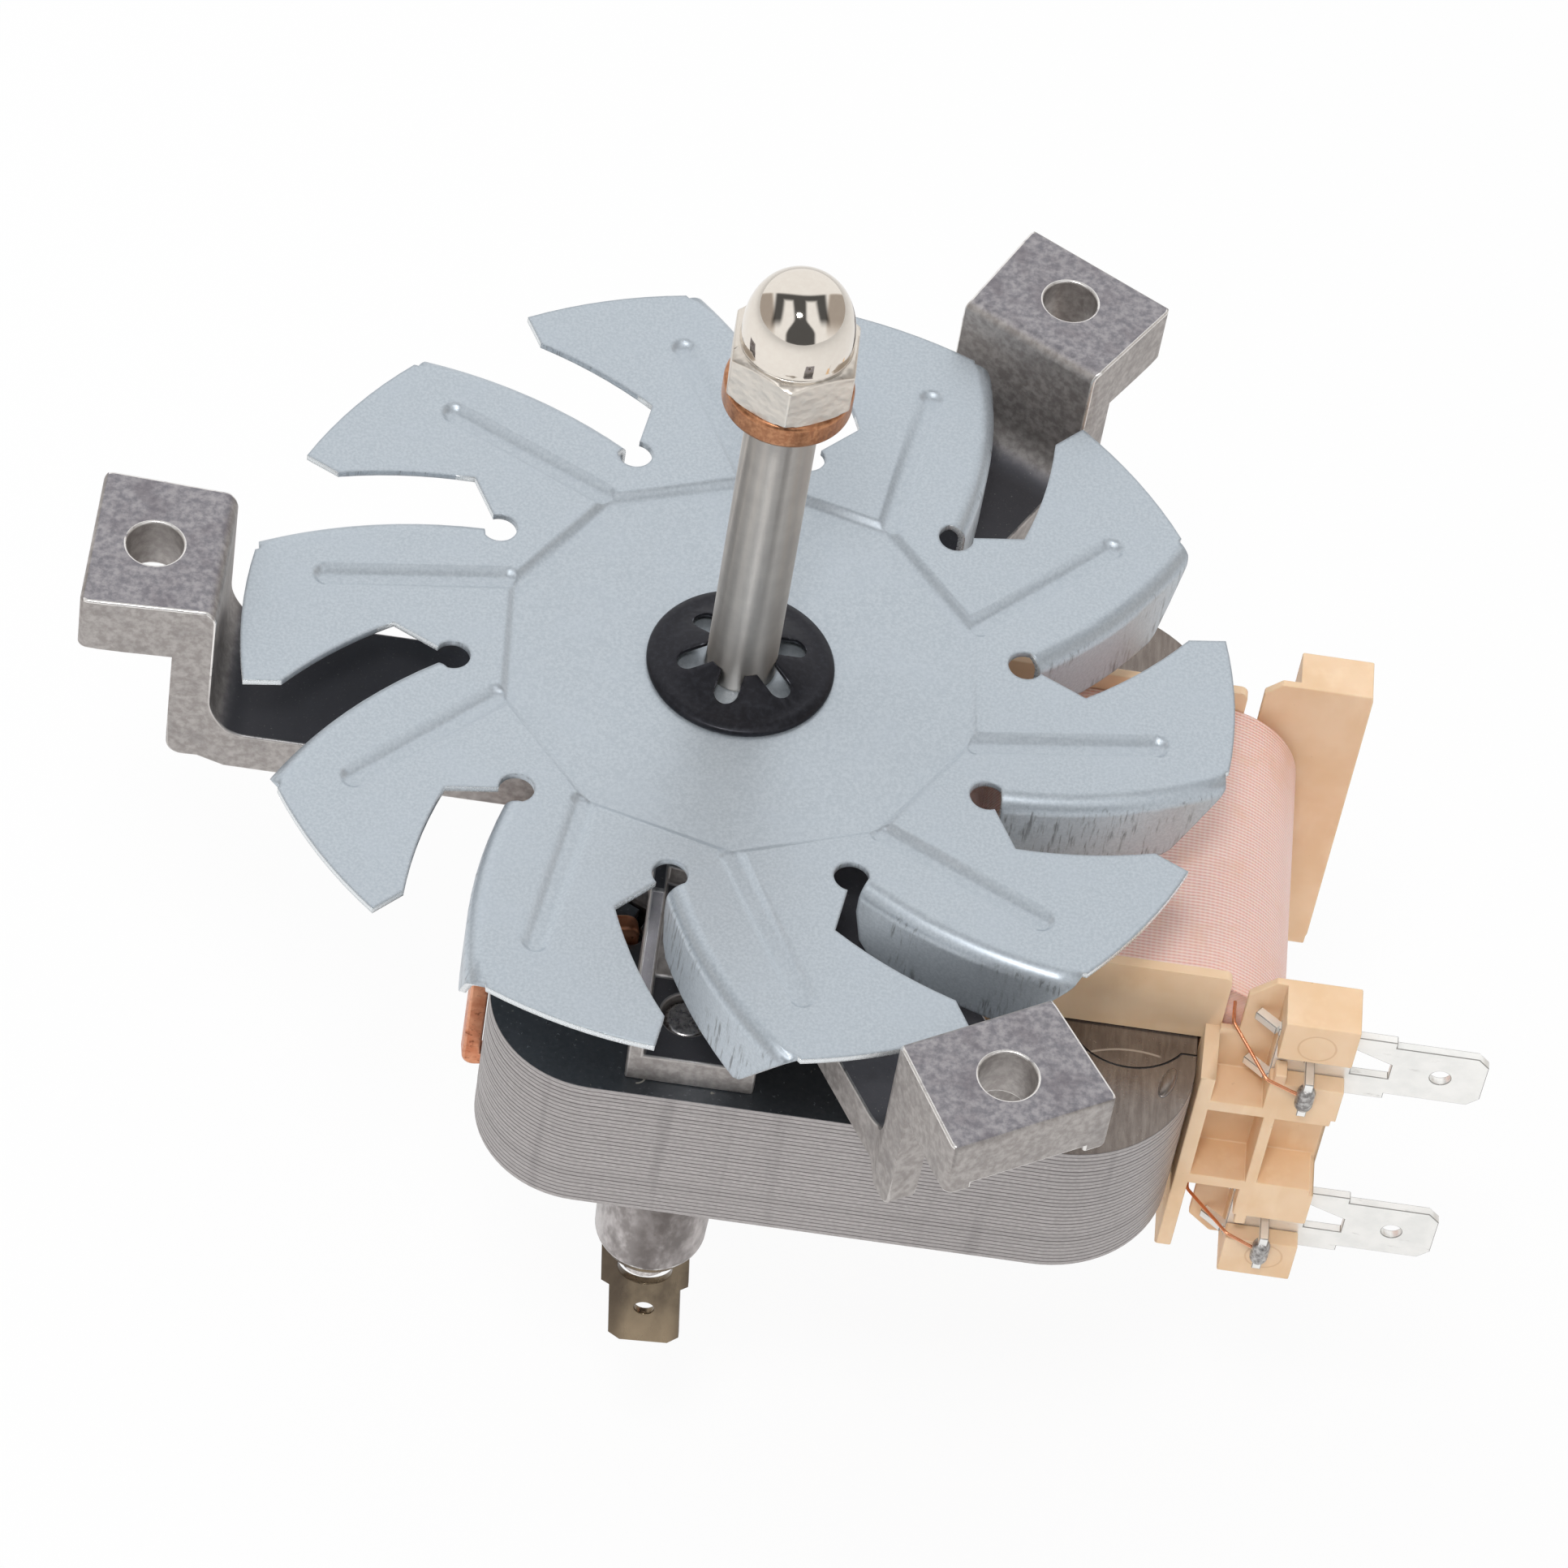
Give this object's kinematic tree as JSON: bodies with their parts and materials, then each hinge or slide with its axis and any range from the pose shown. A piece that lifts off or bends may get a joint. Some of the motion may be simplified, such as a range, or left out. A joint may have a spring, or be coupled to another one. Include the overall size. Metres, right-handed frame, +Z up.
{
  "type": "oven fan motor",
  "caption": "Shaded pole oven fan motor: laminated stator and coil under cast feet, a cooling fan and a long shaft with a domed nut on top.",
  "frame": {"origin": "on the shaft axis in the plane of the feet's top faces", "axes": "+Z up the shaft to the domed nut, +X from the shaft to the coil, terminals on the -Y side"},
  "size_m": [0.1229, 0.1026, 0.1095],
  "materials": {
    "galvanised_sheet": "satin zinc coat with spangle",
    "ground_steel": "fine ground along its length",
    "electrical_steel": "stacked sheet, dark oxide on the faces",
    "cast_aluminium": "as cast",
    "die_casting": "as cast, mottled grey",
    "black_spring_steel": "blackened, semi gloss",
    "spring_steel": "plain",
    "zinc_steel": "bright zinc",
    "copper": "copper, dull",
    "nickel": "polished nickel",
    "brass": "nickel toned brass",
    "tinned_brass": "bright tin",
    "solder": "dull solder",
    "sintered_bronze": "oily sintered bronze",
    "felt": "oil felt",
    "fibre": "laminated fibre",
    "tan_plastic": "moulded, satin",
    "copper_wire": "enamelled copper",
    "glass_tape": "woven glass tape, translucent"
  },
  "bodies": {
    "stator": {"front_bracket": "die_casting", "rear_bracket": "die_casting", "bearing_front": "sintered_bronze", "bearing_rear": "sintered_bronze", "oil_felt_front": "felt", "oil_felt_rear": "felt", "bearing_retainer_front": "spring_steel", "bearing_retainer_rear": "spring_steel", "bracket_screws": "zinc_steel", "earth_tab": "brass", "stator_frame": "electrical_steel", "coil_core": "electrical_steel", "shading_rings": "copper", "bobbin": "tan_plastic", "coil_winding": "copper_wire", "coil_tape": "glass_tape", "terminal_upper": "tinned_brass", "terminal_lower": "tinned_brass", "coil_leads": "copper_wire", "solder_joints": "solder"},
    "rotor": {"shaft": "ground_steel", "rotor_core": "electrical_steel", "rotor_cage": "cast_aluminium", "thrust_washers": "fibre", "cooling_fan": "galvanised_sheet", "push_on_washer": "black_spring_steel", "copper_washer": "copper", "cap_nut": "nickel"}
  },
  "joints": [
    {"name": "rotor_spin", "type": "hinge", "parent": "stator", "child": "rotor", "pos_m": [0, 0, 0], "axis": [0, 0, 1], "continuous": true}
  ]
}
